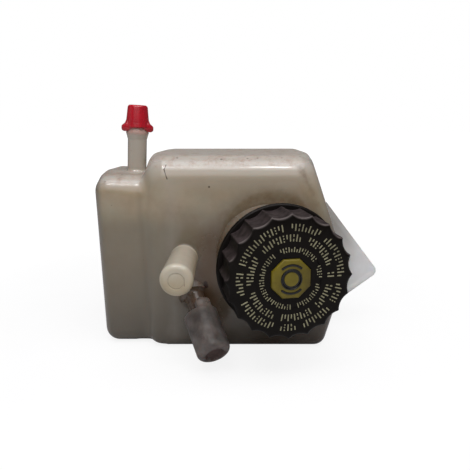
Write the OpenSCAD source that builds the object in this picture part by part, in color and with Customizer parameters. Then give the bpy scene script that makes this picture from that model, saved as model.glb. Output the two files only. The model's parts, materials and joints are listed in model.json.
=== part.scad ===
// Hose-fed brake fluid reservoir. A blow-moulded tank of two stepped sections carries
// a screw-capped filler neck with a strainer, and three hose nipples under push-on caps.
// Millimetres. X runs right along the front face, Y runs back, Z runs up.
// The origin is on the flat foot, in the parting plane of the mould.

/* [Tank] */
// Wall thickness of the moulded tank
wall = 2.2; // [1.8:0.1:2.8]
// Depth of the main section, front face to back face
main_d = 62; // [58:1:68]
// Height of the main section
main_h = 94; // [90:1:98]
// How far the main section reaches left of the origin
main_left = 29.5; // [27:0.5:32]
// Place of the right shoulder's rounding, right of the origin
shoulder_x = 41.2; // [38:0.2:44]
// Place of the belly's rounding on the right-hand side
belly_x = 55; // [52:0.5:58]
// Height of the belly's upper end
belly_top_z = 45; // [40:1:50]
// Height of the belly's lower end
belly_low_z = 24; // [20:1:28]
// Rounding of the top and of the belly
top_r = 11; // [8:0.5:12]
// Rounding along the foot
foot_r = 6; // [5:0.5:8]
// How far the foot stops short of the belly
foot_set_back = 7; // [5:0.5:9]

/* [Side section] */
// How far the side section reaches left of the origin
side_left = 53.5; // [50:0.5:57]
// Height of the side section
side_h = 84; // [80:0.5:88]
// Step from the main front face back to the side section's face
side_step = 5; // [3:0.5:8]
// Rounding of the side section's top
side_top_r = 10; // [7:0.5:11]
// Rounding of the side section's foot
side_foot_r = 7; // [5:0.5:8]
// Draft of the outer side wall over its height
side_draft = 1; // [0:0.5:2]

/* [Fixing tab] */
// How far the tab's outer corner stands right of the belly's rounding
tab_out = 36; // [33:0.5:39]
// Height of the tab's outer corner
tab_z = 30; // [27:0.5:33]
// Turn of the square tab in its own plane
tab_turn = 52; // [48:1:56]
// Length of the tab's upper edge
tab_long = 48; // [44:1:52]
// Length of the tab's lower edge
tab_short = 36; // [33:1:40]
// Thickness of the tab
tab_t = 2.6; // [2:0.1:4]
// Rounding of the tab's outer corner
tab_r = 3.6; // [2:0.2:6]
// Radius of the fixing hole
tab_hole_r = 3.25; // [2.5:0.05:4]
// Distance of the fixing hole along the tab from its outer corner
tab_hole_along = 17.5; // [15:0.5:19]
// Distance of the fixing hole in from the tab's upper edge
tab_hole_in = 10.5; // [9:0.5:11.5]

/* [Filler neck] */
// Place of the neck on the front face, right of the origin
neck_x = 29.8; // [27:0.2:32]
// Height of the neck's axis
neck_z = 47.8; // [44:0.2:51]
// Turn of the neck away from straight forward
neck_yaw = 11; // [0:0.5:15]
// Length of the neck, from the front face to its mouth
neck_len = 28.7; // [26:0.1:32]
// Radius of the neck's bore
neck_bore_r = 18.4; // [17:0.1:19]
// Wall of the neck, from its bore to the root of its thread
neck_wall = 3.2; // [2.8:0.1:3.6]
// Step from the neck out to the collar between the face and the cap
collar_step = 3; // [2:0.2:4]
// Depth of the step that carries the strainer
seat_depth = 1.6; // [1.2:0.1:2.5]
// Width of the step that carries the strainer
seat_w = 1.5; // [1:0.1:1.8]

/* [Filler cap] */
// Wall of the cap, from its bore to the ridges of the grip
cap_wall = 4.1; // [3.6:0.1:4.6]
// How far the rim stands out past the ridges of the grip
rim_out = 1.1; // [0.6:0.1:1.8]
// Thickness of the rim
rim_t = 2.4; // [1.8:0.1:3.2]
// Length of the grip, from the rim to the face
grip_h = 16; // [14:0.5:18]
// Number of flutes in the grip
flutes = 20; // [16:1:24]
// Depth of a flute
flute_depth = 1.1; // [0.8:0.1:1.4]
// Width left on the ridge between two flutes
ridge_w = 0.4; // [0.3:0.1:0.8]
// Bevel round the cap's front edge
face_bevel = 0.7; // [0.4:0.1:1]
// Thickness of the cap's top
cap_top_t = 2.6; // [2:0.1:3.2]
// Radial room between the neck and the cap for the thread
thread_room = 1.2; // [1:0.1:1.4]
// Travel of the cap for each full turn
thread_pitch = 4; // [3:0.5:5]

/* [Cap insert] */
// Size of the eight-sided insert across its flats
insert_af = 16.6; // [15:0.2:18]
// How far the insert stands out of the cap
insert_proud = 1; // [0.6:0.1:1.4]
// Depth of the pocket that holds the insert
pocket_depth = 1; // [0.8:0.1:1.2]
// Mean radius of the round groove in the insert
groove_r = 3.35; // [3:0.05:3.8]
// Width of the grooves in the insert
groove_w = 1.1; // [0.6:0.1:1.4]
// Mean radius of the two arc grooves
arc_r = 6; // [5.4:0.1:6.2]
// Radius of the insert's stem
stem_r = 2.4; // [2:0.1:2.6]

/* [Diaphragm] */
// Thickness of the diaphragm's sealing flange
seal_t = 1.8; // [1.4:0.1:2.4]
// How far the sealing flange stops short of the neck's outer wall
seal_set_in = 0.2; // [0:0.1:0.6]
// Thickness of the bellows wall
bellows_t = 1.1; // [0.9:0.1:1.3]
// Radial room between the bellows and the strainer's cup
bellows_room = 2; // [1.6:0.1:3]
// How deep the bellows hangs below the flange
bellows_depth = 12; // [10:0.5:14]

/* [Strainer] */
// Depth of the strainer's cup below its flange
strainer_depth = 48; // [42:1:52]
// Wall of the strainer's cup
strainer_wall = 1.3; // [1:0.1:1.6]
// Number of windows round the cup
windows = 10; // [8:1:12]
// Height of a window
window_h = 14; // [10:0.5:16]

/* [Vent nipple and red cap] */
// How far the vent nipple stands left of the origin
vent_x = 37; // [36:0.5:39]
// Lean of the vent nipple towards the main section
vent_lean = 3.5; // [0:0.5:5]
// Height of the vent nipple above the side section
vent_len = 31; // [28:0.5:34]
// Height of the widest point of the vent nipple's bead
vent_bead_z = 19.3; // [17:0.1:21]
// Radius of the vent nipple's tip, inside its bevel
vent_tip_r = 3.5; // [3.3:0.1:3.6]
// Height of the red cap
red_len = 10.6; // [9.5:0.1:12]
// Outer radius of the red cap at its closed end
red_top_r = 4.8; // [4.6:0.1:5]
// Outer radius of the red cap at its open end
red_low_r = 5.85; // [5.75:0.05:6.2]
// Radius over the red cap's two pull ears
ear_r = 8.1; // [7.6:0.1:8.6]

/* [Front nipple and white cap] */
// How far the front nipple stands left of the origin
front_x = 10.2; // [9:0.2:12]
// Height of the front nipple's axis
front_z = 47.4; // [45:0.2:49]
// Length of the front nipple
front_len = 31; // [28:0.5:34]
// Distance from the face to the white cap's open end
white_gap = 2.6; // [2.2:0.1:4]
// Outer radius of the white cap at its closed end
white_end_r = 7; // [6.8:0.1:7.4]
// Outer radius of the white cap at its open end
white_low_r = 6.4; // [6.3:0.1:6.8]
// Length of the white cap
white_len = 32.4; // [30:0.2:35]

/* [Lower nipple and clear cap] */
// How far the lower nipple stands left of the origin
lower_x = 6.5; // [5:0.2:8]
// Height of the lower nipple's root
lower_z = 27.9; // [26:0.2:30]
// Turn of the lower nipple to the right
lower_yaw = 23.7; // [18:0.5:28]
// Dip of the lower nipple below level
lower_dip = 32.4; // [28:0.5:34]
// Length of the lower nipple
lower_len = 28; // [25:0.5:29]
// Distance along the nipple from the face to the clear cap's open end
clear_gap = 11.6; // [10.5:0.1:13]
// Length of the clear cap
clear_len = 20.4; // [19:0.2:22]
// Outer radius of the clear cap at its open end
clear_low_r = 8; // [7.8:0.1:8.4]
// Outer radius of the clear cap at its closed end
clear_end_r = 7.6; // [7.4:0.1:7.9]

/* [Hose nipples] */
// Outer radius of a nipple's tube
tube_r = 4.75; // [4.5:0.05:4.9]
// Radius over a nipple's bead
bead_r = 5.6; // [5.3:0.05:5.7]
// Radius of a nipple's bore
tube_bore_r = 2.75; // [2.4:0.05:3]
// Rounding where a nipple grows out of the tank
root_r = 2; // [1.5:0.1:2.2]
// Length over which a bead rises from the tube, and falls again
bead_rise = 3; // [2:0.2:4]
// Length of a bead's widest part
bead_land = 0.6; // [0.4:0.1:1]
// Bevel of a nipple's tip
tip_bevel = 0.5; // [0.3:0.1:0.6]

/* [Clearances] */
// Gap between faces that seat on each other on different pieces
seat_gap = 0.1; // [0.05:0.05:0.2]
// Radial gap between a push-on cap and its nipple
push_gap = 0.12; // [0.1:0.02:0.2]
// Radial gap between the strainer and the neck
strainer_gap = 0.3; // [0.2:0.05:0.5]

/* [Hidden] */
ball_fn = 16;

front_y = -main_d / 2;
side_d = main_d - 2 * side_step;
// Corner balls of the two sections, each as [x, z, radius]
main_balls = [
    [-main_left + top_r, main_h - top_r, top_r],
    [shoulder_x, main_h - top_r, top_r],
    [belly_x, belly_top_z, top_r],
    [belly_x - 1, belly_low_z, top_r],
    [belly_x + top_r - foot_set_back - foot_r, foot_r, foot_r],
    [-main_left + foot_r, foot_r, foot_r]];
side_balls = [
    [-side_left + side_top_r, side_h - side_top_r, side_top_r],
    [-main_left + side_top_r, side_h - side_top_r, side_top_r],
    [-side_left + side_draft + side_foot_r, side_foot_r, side_foot_r],
    [-main_left + side_foot_r, side_foot_r, side_foot_r]];

tab_x = belly_x + tab_out;
// Radii of the neck and of what closes it, each built on the one inside it
neck_r = neck_bore_r + neck_wall;
collar_r = neck_r + collar_step;
cap_bore_r = neck_r + thread_room;
grip_r = cap_bore_r + cap_wall;
rim_r = grip_r + rim_out;
seat_r = neck_bore_r + seat_w;
cup_r = neck_bore_r - strainer_gap;
cup_inner_r = cup_r - strainer_wall;
seal_r = neck_r - seal_set_in;
bellows_r = cup_inner_r - bellows_room;
// Places along the neck's axis, measured from the front face
rim_back_z = neck_len + seal_t + cap_top_t + 2 * seat_gap - grip_h - rim_t;
rim_front_z = rim_back_z + rim_t;
cap_face_z = rim_front_z + grip_h;
cap_inner_z = cap_face_z - cap_top_t;
seal_low_z = neck_len + seat_gap;
// The flute's cutter passes through the edges of two neighbouring ridges and the flute's floor
flute_chord = grip_r * sin(180 / flutes) - ridge_w / 2;
flute_cut_r = (pow(flute_chord, 2) + pow(flute_depth, 2)) / (2 * flute_depth);
flute_cut_at = sqrt(pow(grip_r, 2) - pow(flute_chord, 2)) - flute_depth + flute_cut_r;
insert_gap = seat_gap;

// A block whose corners are balls that touch both faces; inset shrinks it to the cavity
module ball_block(balls, depth, inset) {
    hull()
        for (b = balls, side = [-1, 1])
            translate([b[0], side * (depth / 2 - b[2]), b[1]])
                sphere(r = (b[2] - inset) / cos(180 / ball_fn), $fn = ball_fn);
}

// Frames: local Z runs out along the neck or the nipple
module on_neck() {
    translate([neck_x, front_y, neck_z]) rotate([90, 0, neck_yaw]) children();
}
module on_vent() {
    translate([-vent_x, 0, side_h]) rotate([0, vent_lean, 0]) children();
}
module on_front() {
    translate([-front_x, front_y, front_z]) rotate([90, 0, 0]) children();
}
module on_lower() {
    translate([-lower_x, front_y, lower_z]) rotate([90 + lower_dip, 0, lower_yaw]) children();
}

// A hose nipple turned in one profile: root fillet, tube, bead and slim end
module nipple(len, bead_z, tip_r, sink) {
    rise = bead_rise;
    fillet = [for (a = [0 : 15 : 90])
        [tube_r + root_r * (1 - sin(a)), root_r * (1 - cos(a))]];
    rotate_extrude($fn = 96)
        polygon(concat(
            [[0, -sink], [tube_r + root_r, -sink]],
            fillet,
            [[tube_r, bead_z - rise], [bead_r, bead_z], [bead_r, bead_z + bead_land],
             [tube_r, bead_z + rise], [tip_r + tip_bevel, len - tip_bevel], [tip_r, len], [0, len]]));
}

// The square tab, with its outer corner rounded
module tab_plate() {
    translate([tab_x, tab_t / 2, tab_z]) rotate([90, 0, 0]) linear_extrude(tab_t)
        rotate(180 - tab_turn) difference() {
            union() {
                translate([tab_r, 0]) square([tab_long - tab_r, tab_short]);
                translate([0, tab_r]) square([tab_long, tab_short - tab_r]);
                translate([tab_r, tab_r]) circle(r = tab_r, $fn = 64);
            }
            translate([tab_hole_along, tab_hole_in]) circle(r = tab_hole_r, $fn = 64);
        }
}

module reservoir_body() {
    color([0.76, 0.71, 0.62]) difference() {
        union() {
            ball_block(main_balls, main_d, 0);
            ball_block(side_balls, side_d, 0);
            tab_plate();
            on_neck() translate([0, 0, -neck_r]) {
                cylinder(r = collar_r, h = neck_r + rim_back_z - 2, $fn = 128);
                cylinder(r = neck_r, h = neck_r + neck_len, $fn = 128);
            }
            on_vent() nipple(vent_len, vent_bead_z, vent_tip_r, wall);
            on_front() nipple(front_len, front_len - 4, tube_r - 1, wall);
            on_lower() nipple(lower_len, lower_len - 5, tube_r - 1, top_r);
        }
        ball_block(main_balls, main_d, wall);
        ball_block(side_balls, side_d, wall);
        on_neck() {
            translate([0, 0, -neck_r]) cylinder(r = neck_bore_r, h = neck_r + neck_len + 1, $fn = 128);
            translate([0, 0, neck_len - seat_depth]) cylinder(r = seat_r, h = seat_depth + 1, $fn = 128);
        }
        on_vent() translate([0, 0, -2 * wall]) cylinder(r = tube_bore_r, h = vent_len + 3 * wall, $fn = 64);
        on_front() translate([0, 0, -2 * wall]) cylinder(r = tube_bore_r, h = front_len + 3 * wall, $fn = 64);
        on_lower() translate([0, 0, -top_r]) cylinder(r = tube_bore_r, h = lower_len + 2 * top_r, $fn = 64);
    }
}

// A cup whose wall has two rows of windows, hung in the neck by its flange
module neck_strainer() {
    top_z = neck_len;
    flange_t = seat_depth - seat_gap;
    floor_z = top_z - flange_t - strainer_depth;
    row_z = [floor_z + 4, floor_z + 7 + window_h];
    color([0.86, 0.85, 0.8]) on_neck() difference() {
        union() {
            translate([0, 0, top_z - flange_t]) cylinder(r = seat_r - strainer_gap, h = flange_t, $fn = 96);
            translate([0, 0, floor_z]) cylinder(r = cup_r, h = strainer_depth + flange_t / 2, $fn = 96);
        }
        translate([0, 0, floor_z + strainer_wall])
            cylinder(r = cup_inner_r, h = strainer_depth + 2 * flange_t, $fn = 96);
        for (z = row_z, i = [0 : windows - 1])
            rotate(i * 360 / windows) translate([0, -cup_r * sin(120 / windows), z])
                cube([2 * cup_r, 2 * cup_r * sin(120 / windows), window_h]);
        for (i = [0 : 5])
            rotate(i * 60) translate([cup_inner_r * 0.55, 0, floor_z - 1])
                cylinder(r = cup_inner_r * 0.2, h = strainer_wall + 2, $fn = 32);
    }
}

// A rubber bellows cup whose flange is the cap's seal
module cap_diaphragm() {
    t = bellows_t;
    fold = bellows_depth / 4;
    // Outer side of the folded wall, from the flange down to the floor
    folds = [for (i = [0 : 4]) [bellows_r - (i % 2 == 0 ? 0 : 1.8), seal_low_z - i * fold]];
    inner = [for (i = [4 : -1 : 0]) [folds[i][0] - t, folds[i][1] + (i == 4 ? t : 0)]];
    color([0.13, 0.13, 0.14]) on_neck() rotate_extrude($fn = 96)
        polygon(concat(
            [[seal_r, seal_low_z + seal_t], [seal_r, seal_low_z]],
            folds,
            [[bellows_r / 2, seal_low_z - 4 * fold], [bellows_r / 2 - 1, seal_low_z - 3 * fold],
             [0, seal_low_z - 3 * fold], [0, seal_low_z - 3 * fold + t],
             [bellows_r / 2 - 0.4, seal_low_z - 3 * fold + t]],
            [[bellows_r / 2 + 0.6, seal_low_z - 4 * fold + t]],
            inner,
            [[bellows_r - t, seal_low_z + seal_t]]));
}

module eight_sided(af, h) {
    rotate(22.5) cylinder(r = af / 2 / cos(22.5), h = h, $fn = 8);
}

module filler_cap() {
    half_rim = rim_t / 2;
    color([0.1, 0.09, 0.1]) on_neck() difference() {
        union() {
            translate([0, 0, rim_back_z]) cylinder(r = rim_r - half_rim, h = rim_t, $fn = 128);
            translate([0, 0, rim_back_z + half_rim]) rotate_extrude($fn = 128)
                translate([rim_r - half_rim, 0]) circle(r = half_rim, $fn = 32);
            difference() {
                rotate_extrude($fn = 128) polygon([
                    [0, rim_back_z + half_rim], [grip_r, rim_back_z + half_rim],
                    [grip_r, cap_face_z - face_bevel], [grip_r - face_bevel - flute_depth, cap_face_z],
                    [0, cap_face_z]]);
                for (i = [0 : flutes - 1])
                    rotate((i + 0.5) * 360 / flutes) translate([flute_cut_at, 0, rim_front_z])
                        cylinder(r = flute_cut_r, h = grip_h + 1, $fn = 96);
            }
        }
        translate([0, 0, rim_back_z - 1]) cylinder(r = cap_bore_r, h = cap_inner_z - rim_back_z + 1, $fn = 128);
        translate([0, 0, cap_face_z - pocket_depth]) eight_sided(insert_af + 2 * insert_gap, pocket_depth + 1);
        translate([0, 0, cap_inner_z - 1]) cylinder(r = stem_r + insert_gap, h = cap_top_t + 2, $fn = 48);
    }
}

// One arc groove, cut as a slice of a ring
module arc_groove(depth) {
    intersection() {
        difference() {
            cylinder(r = arc_r + groove_w / 2, h = depth, $fn = 64);
            translate([0, 0, -1]) cylinder(r = arc_r - groove_w / 2, h = depth + 2, $fn = 64);
        }
        translate([-arc_r, arc_r * 0.62, -1]) cube([2 * arc_r, arc_r, depth + 2]);
    }
}

// Eight-sided button with a ring and two arcs, held by a stem that snaps through the cap
module cap_insert() {
    low_z = cap_face_z - pocket_depth;
    top_z = cap_face_z + insert_proud;
    groove_depth = 0.7;
    bevel = 0.6;
    color([0.62, 0.6, 0.25]) on_neck() {
        difference() {
            union() {
                translate([0, 0, low_z]) eight_sided(insert_af, top_z - low_z - bevel);
                intersection() {
                    translate([0, 0, low_z]) eight_sided(insert_af, top_z - low_z);
                    translate([0, 0, top_z - 2 * bevel]) cylinder(
                        r1 = insert_af / 2 / cos(22.5) + bevel, r2 = insert_af / 2 / cos(22.5) - bevel,
                        h = 2 * bevel, $fn = 96);
                }
            }
            translate([0, 0, top_z - groove_depth]) {
                difference() {
                    cylinder(r = groove_r + groove_w / 2, h = groove_depth + 1, $fn = 64);
                    translate([0, 0, -1]) cylinder(r = groove_r - groove_w / 2, h = groove_depth + 3, $fn = 64);
                }
                arc_groove(groove_depth + 1);
                rotate(180) arc_groove(groove_depth + 1);
            }
        }
        translate([0, 0, cap_inner_z - 1.4]) cylinder(r = stem_r, h = low_z - cap_inner_z + 1.5, $fn = 48);
        translate([0, 0, cap_inner_z - 1.4]) cylinder(r1 = stem_r - 0.2, r2 = stem_r + 0.7, h = 1.2, $fn = 48);
    }
}

// Tapered cap with a flange and two down-turned pull ears at its open end
module vent_cap() {
    low_z = vent_bead_z + bead_rise + 0.2;
    top_z = low_z + red_len;
    ear_ball = 2.2;
    round = 0.9;
    tip_hole_r = vent_tip_r + tip_bevel + push_gap;
    tip_room = 0.2;
    color([0.72, 0.06, 0.14]) on_vent() rotate(11.5) difference() {
        union() {
            rotate_extrude($fn = 96) {
                polygon([[0, low_z], [red_low_r, low_z], [red_top_r, top_z - round],
                         [red_top_r - round, top_z - round], [red_top_r - round, top_z], [0, top_z]]);
                translate([red_top_r - round, top_z - round]) circle(r = round, $fn = 32);
            }
            difference() {
                rotate_extrude($fn = 96) translate([ear_r - ear_ball, low_z - 0.4])
                    circle(r = ear_ball, $fn = 32);
                translate([-tube_r - 0.2, -2 * ear_r, low_z - 2 * ear_ball])
                    cube([2 * tube_r + 0.4, 4 * ear_r, 2 * ear_ball]);
                cylinder(r = red_low_r - 1, h = top_z, $fn = 64);
            }
        }
        // The bore follows the nipple's bead and its slim end
        rotate_extrude($fn = 96) polygon([
            [0, vent_bead_z - bead_rise], [bead_r + 5 * push_gap, vent_bead_z - bead_rise],
            [bead_r + push_gap, vent_bead_z + bead_land], [tube_r + push_gap, vent_bead_z + bead_rise],
            [tip_hole_r, vent_len - tip_bevel], [tip_hole_r, vent_len + tip_room],
            [0, vent_len + tip_room]]);
    }
}

// Blind sleeve on a beaded nipple, used twice with other sizes
module blind_cap(gap, len, low_r, end_r, end_round, bore_depth) {
    difference() {
        rotate_extrude($fn = 96) {
            polygon([[0, gap], [low_r - 0.5, gap], [low_r, gap + 0.5], [end_r, gap + len - end_round],
                     [end_r - end_round, gap + len - end_round], [end_r - end_round, gap + len],
                     [0, gap + len]]);
            translate([end_r - end_round, gap + len - end_round]) circle(r = end_round, $fn = 48);
        }
        translate([0, 0, gap - 1]) cylinder(r = bead_r + push_gap, h = bore_depth + 1, $fn = 96);
    }
}

module front_nipple_cap() {
    color([0.84, 0.83, 0.78])
        on_front() blind_cap(white_gap, white_len, white_low_r, white_end_r, 1.4,
                             front_len - white_gap + 0.3);
}

module lower_nipple_cap() {
    color([0.6, 0.58, 0.58])
        on_lower() blind_cap(clear_gap, clear_len, clear_low_r, clear_end_r, 2,
                             lower_len - clear_gap + 0.3);
}

reservoir_body();
neck_strainer();
cap_diaphragm();
filler_cap();
cap_insert();
vent_cap();
front_nipple_cap();
lower_nipple_cap();
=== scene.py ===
# %% [markdown]
# # A brake fluid reservoir
# This lesson dresses a brake fluid reservoir: a milky blow-moulded tank with a black screw cap,
# three hose nipples under push-on caps, and years of brake dust. The exact solids come packed as a
# frame, in metres, and stay where they are. Pieces whose look needs softer forms than the solids
# have are modelled again here, on the same axes and at the same sizes, and stand in for them.

import json
import math

import bpy
from mathutils import Matrix, Vector


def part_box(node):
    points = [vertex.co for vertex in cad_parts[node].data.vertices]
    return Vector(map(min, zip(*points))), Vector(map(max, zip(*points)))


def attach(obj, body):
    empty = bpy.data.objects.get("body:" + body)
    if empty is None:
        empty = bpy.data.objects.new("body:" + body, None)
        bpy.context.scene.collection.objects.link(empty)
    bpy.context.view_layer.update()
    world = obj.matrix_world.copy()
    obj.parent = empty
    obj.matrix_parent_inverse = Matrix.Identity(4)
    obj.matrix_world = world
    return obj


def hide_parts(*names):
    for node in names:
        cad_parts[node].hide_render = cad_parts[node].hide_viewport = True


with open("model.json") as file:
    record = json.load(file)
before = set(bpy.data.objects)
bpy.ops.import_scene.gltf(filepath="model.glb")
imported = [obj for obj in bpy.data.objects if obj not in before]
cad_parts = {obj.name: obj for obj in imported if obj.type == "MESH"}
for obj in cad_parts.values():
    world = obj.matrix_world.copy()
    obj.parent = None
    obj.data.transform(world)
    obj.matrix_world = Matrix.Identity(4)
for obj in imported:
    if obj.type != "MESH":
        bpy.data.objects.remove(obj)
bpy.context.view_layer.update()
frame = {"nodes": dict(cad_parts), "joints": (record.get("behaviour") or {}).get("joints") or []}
MM = 0.001
print("nodes", sorted(frame["nodes"]))

# %% [markdown]
# ## Axes
# The neck and the three nipples each have an axis, and everything turned or pushed onto them is
# modelled upright at the origin, with its Z along that axis, and then placed in one move. The
# joints of the frame already know the directions, so they are read from there and not typed again.


# %% Work out the four axes
def axis_frame(root, axis, up):
    """A matrix whose Z runs along the axis and whose Y leans towards up."""
    z = Vector(axis).normalized()
    x = Vector(up).cross(z).normalized()
    y = z.cross(x)
    turn = Matrix((x, y, z)).transposed().to_4x4()
    return Matrix.Translation(Vector(root)) @ turn


JOINTS = {joint["name"]: joint for joint in frame["joints"]}
# The tank is as deep in front of its seam as behind it, where nothing sticks out
FRONT_Y = -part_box("reservoir_body")[1].y
ON_NECK = axis_frame(JOINTS["cap_turn"]["pos_m"], JOINTS["cap_turn"]["axis"], (0, 0, 1))
ON_VENT = axis_frame((-37 * MM, 0, 84 * MM), JOINTS["vent_cap_pull"]["axis"], (0, 1, 0))
ON_FRONT = axis_frame((-10.2 * MM, FRONT_Y, 47.4 * MM), JOINTS["front_cap_pull"]["axis"], (0, 0, 1))
ON_LOWER = axis_frame((-6.5 * MM, FRONT_Y, 27.9 * MM), JOINTS["lower_cap_pull"]["axis"], (0, 0, 1))
print("front face at y =", round(FRONT_Y / MM, 2), "mm")

# %% [markdown]
# ## Camera
# The photograph was taken with a phone held a little above the tank, looking down by 14 degrees.
# A square picture with a focal length of 480 pixels in 470 is a 36.8 mm lens on a 36 mm sensor.
# The camera comes first.

# %% Set up the camera
SENSOR = 36.0
FOCAL_PIXELS = 480
PICTURE_PIXELS = 470
PITCH = math.radians(14)

camera_data = bpy.data.cameras.new("camera")
camera = bpy.data.objects.new("camera", camera_data)
bpy.context.scene.collection.objects.link(camera)
camera_data.sensor_width = SENSOR
camera_data.lens = SENSOR * FOCAL_PIXELS / PICTURE_PIXELS
camera_data.clip_start = 0.01
camera.location = (13.5 * MM, -248 * MM, 112 * MM)
camera.rotation_euler = (math.pi / 2 - PITCH, 0, 0)
bpy.context.scene.camera = camera
print("lens", round(camera_data.lens, 2), "mm")

# %% [markdown]
# ## Working by operators
# Blender's operators act on whatever is selected, so each step starts by deselecting everything.
# A turned piece is drawn as half its section, point by point, and spun round Z. Corners of the
# section may carry a radius, which is worked out as an arc, because moulded plastic has no knife
# edges and a rounded edge is what catches the light.


# %% Helpers for selecting, turning and placing
def deselect():
    """Leaves edit mode, drops the selection and goes back to selecting vertices."""
    if bpy.context.object and bpy.context.object.mode != "OBJECT":
        bpy.ops.object.mode_set(mode="OBJECT")
    bpy.ops.object.select_all(action="DESELECT")
    bpy.context.tool_settings.mesh_select_mode = (True, False, False)


def only(piece):
    """Makes one piece the selected and active one."""
    deselect()
    piece.select_set(True)
    bpy.context.view_layer.objects.active = piece


def pick(piece, kind, test):
    """Opens a piece in edit mode with only those vertices, edges or faces selected that pass a test."""
    only(piece)
    bpy.ops.object.mode_set(mode="EDIT")
    bpy.ops.mesh.select_all(action="DESELECT")
    bpy.ops.object.mode_set(mode="OBJECT")
    items = {"VERT": piece.data.vertices, "EDGE": piece.data.edges, "FACE": piece.data.polygons}[kind]
    for item in items:
        item.select = test(item)
    bpy.context.tool_settings.mesh_select_mode = (kind == "VERT", kind == "EDGE", kind == "FACE")
    bpy.ops.object.mode_set(mode="EDIT")


def rounded(section, steps=5):
    """Replaces each point (r, z, radius) of a section by an arc; a point (r, z) stays sharp."""
    points = []
    for index, corner in enumerate(section):
        here = Vector(corner[:2])
        if len(corner) == 2:
            points.append(here)
            continue
        to_last = Vector(section[index - 1][:2]) - here
        to_next = Vector(section[index + 1][:2]) - here
        half = to_last.angle(to_next) / 2
        if half > math.radians(88):
            points.append(here)
            continue
        reach = corner[2] / math.tan(half)
        middle = (to_last.normalized() + to_next.normalized()).normalized()
        centre = here + middle * (corner[2] / math.sin(half))
        start = (here + to_last.normalized() * reach - centre).normalized()
        end = (here + to_next.normalized() * reach - centre).normalized()
        for step in range(steps + 1):
            points.append(centre + start.slerp(end, step / steps) * corner[2])
    return points


def base_form(name, scale=(1, 1, 1)):
    """Names the primitive that was just added, scales it and applies its place to its mesh."""
    piece = bpy.context.object
    piece.name = name
    piece.scale = scale
    bpy.ops.object.transform_apply(location=True, rotation=True, scale=True)
    return piece


def join(pieces):
    """Makes one piece of several."""
    deselect()
    for piece in pieces:
        piece.select_set(True)
    bpy.context.view_layer.objects.active = pieces[0]
    bpy.ops.object.join()
    return bpy.context.object


def turned_copy(piece, angle):
    """A copy of a piece, turned round Z."""
    copy = piece.copy()
    copy.data = piece.data.copy()
    copy.data.transform(Matrix.Rotation(angle, 4, "Z"))
    bpy.context.scene.collection.objects.link(copy)
    return copy


def draw(name, points):
    """Draws a line through points in millimetres, as a new piece that stays in edit mode."""
    deselect()
    bpy.ops.mesh.primitive_plane_add(size=1 * MM)
    piece = bpy.context.object
    piece.name = name
    bpy.ops.object.mode_set(mode="EDIT")
    bpy.ops.mesh.merge(type="CENTER")
    bpy.ops.transform.translate(value=points[0] * MM)
    for last, point in zip(points, points[1:]):
        bpy.ops.mesh.extrude_region_move(TRANSFORM_OT_translate={"value": (point - last) * MM})
    bpy.ops.mesh.select_all(action="SELECT")
    return piece


def lathe(name, section, steps=96):
    """Draws half a section in millimetres as (r, z) points and spins it into a closed solid."""
    piece = draw(name, [Vector((r, 0, z)) for r, z in rounded(section)])
    bpy.ops.mesh.spin(steps=steps, angle=2 * math.pi, center=(0, 0, 0), axis=(0, 0, 1))
    bpy.ops.mesh.select_all(action="SELECT")
    bpy.ops.mesh.remove_doubles(threshold=0.004 * MM)
    bpy.ops.mesh.normals_make_consistent(inside=False)
    bpy.ops.object.mode_set(mode="OBJECT")
    return piece


def place(piece, matrix):
    """Moves a piece from its own axis to its place, and applies that to its mesh."""
    only(piece)
    piece.matrix_world = matrix @ piece.matrix_world
    bpy.ops.object.transform_apply(location=True, rotation=True, scale=True)
    return piece


def apply_modifier(piece, kind, **settings):
    """Adds a modifier, sets it and applies it."""
    only(piece)
    modifier = piece.modifiers.new(kind.lower(), kind)
    for key, value in settings.items():
        setattr(modifier, key, value)
    bpy.ops.object.modifier_apply(modifier=modifier.name)
    return piece


def combine(piece, tool, operation):
    """Joins, cuts or intersects a piece with a tool, which is used up."""
    apply_modifier(piece, "BOOLEAN", operation=operation, object=tool, solver="MANIFOLD")
    bpy.data.objects.remove(tool)
    return piece


def shade(piece, degrees=32):
    """Smooth shading, with a crease wherever faces meet at more than the angle."""
    only(piece)
    bpy.ops.object.shade_smooth_by_angle(angle=math.radians(degrees))
    return piece


def report(piece):
    """Prints how many triangles a piece has and whether its mesh is closed."""
    mesh = piece.data
    mesh.calc_loop_triangles()
    sides = {}
    for polygon in mesh.polygons:
        for key in polygon.edge_keys:
            sides[key] = sides.get(key, 0) + 1
    open_edges = sum(1 for count in sides.values() if count != 2)
    print(piece.name, len(mesh.loop_triangles), "triangles,", open_edges, "open edges")


print("helpers ready")

# %% [markdown]
# ## The moulded tank
# The real tank is blown from a tube of hot plastic inside a mould, so its walls are even and every
# corner is soft, softest at the front and tightest at the seam halfway back, where the mould's two
# halves meet. It has two sections that step against each other. Each section is wrapped round
# balls that sit in its corners, which is the quickest way to a block with soft edges of several
# radii. A voxel remesh then melts the two into one skin, and smoothing near the step gives the
# valley between them its fillet, which a bevel on such an edge would not do cleanly.


# %% Wrap a section of the tank round its corner balls
def wrap_balls(name, balls, depth, inset=0.0, segments=48):
    """A convex skin over balls, each (x, z, radius, places from -1 in front to 1 at the back) in mm."""
    deselect()
    piece = None
    for x, z, radius, sides in balls:
        for side in sides:
            spot = Vector((x, side * (depth / 2 - radius), z)) * MM
            bpy.ops.mesh.primitive_uv_sphere_add(
                segments=segments, ring_count=segments // 2, radius=(radius - inset) * MM, location=spot)
            if piece is None:
                piece = base_form(name)
                bpy.ops.object.mode_set(mode="EDIT")
    bpy.ops.mesh.select_all(action="SELECT")
    bpy.ops.mesh.convex_hull()
    bpy.ops.object.mode_set(mode="OBJECT")
    return piece


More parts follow.
